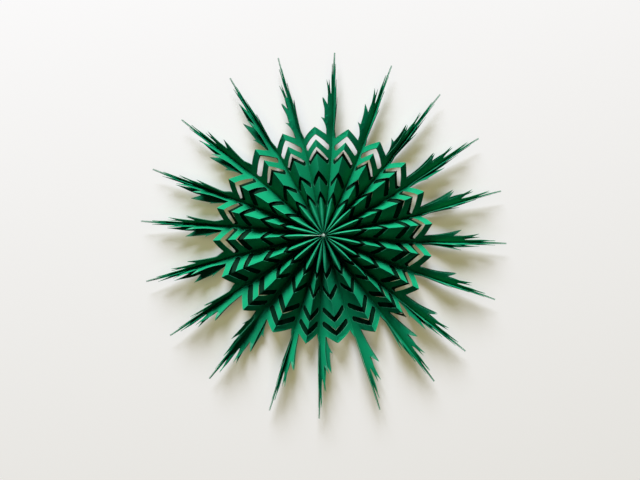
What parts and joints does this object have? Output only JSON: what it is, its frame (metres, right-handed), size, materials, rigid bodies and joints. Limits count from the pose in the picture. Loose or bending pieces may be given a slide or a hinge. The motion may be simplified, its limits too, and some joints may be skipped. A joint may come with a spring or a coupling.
{
  "type": "paper snowflake",
  "caption": "Flat round paper snowflake: a pleated green disc with chevron slots cut through its folds, a zigzag ring and long barbed rays, for hanging or laying as a decoration.",
  "frame": {"origin": "centre of the disc, in the plane of the back folds that it lies on", "axes": "+Z through the disc towards its front ridges, +Y towards the top of the picture, +X to its right"},
  "size_m": [0.2963, 0.2965, 0.02],
  "materials": {
    "paper": "matte coloured paper",
    "glue": "dried craft glue"
  },
  "bodies": {
    "root": {"upper_sheet": "paper", "lower_sheet": "paper", "left_backing": "paper", "right_backing": "paper", "centre_glue": "glue"}
  },
  "joints": []
}
